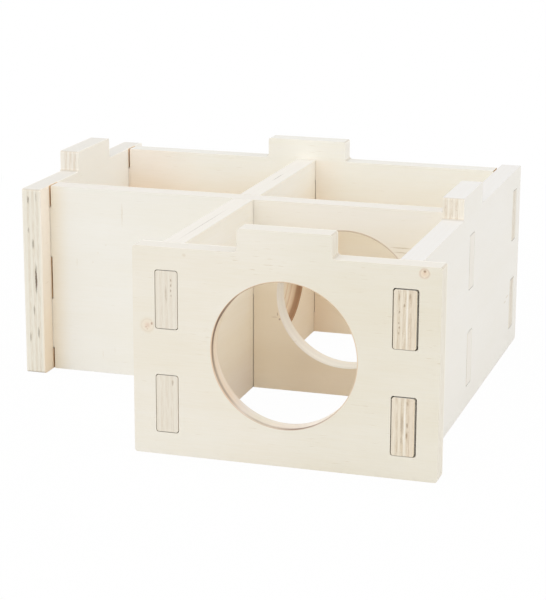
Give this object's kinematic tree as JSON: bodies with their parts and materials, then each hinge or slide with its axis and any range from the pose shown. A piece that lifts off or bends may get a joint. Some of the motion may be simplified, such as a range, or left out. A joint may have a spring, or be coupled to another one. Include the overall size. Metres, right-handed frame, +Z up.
{
  "type": "hamster house",
  "caption": "Open-topped plywood hamster house of plugged-together boards, L-shaped in plan, with linked chambers and round doorways.",
  "frame": {"origin": "middle of the footprint's bounding box, on the floor", "axes": "+Z up, +Y from the front wall with the doorway to the rear wall, +X to the right seen from the front"},
  "size_m": [0.2106, 0.2126, 0.0945],
  "materials": {
    "plywood": "sanded, untreated"
  },
  "bodies": {
    "root": {"front_wall": "plywood", "rear_wall": "plywood", "cross_panel": "plywood", "middle_partition": "plywood", "left_side_wall": "plywood", "right_side_wall": "plywood"}
  },
  "joints": []
}
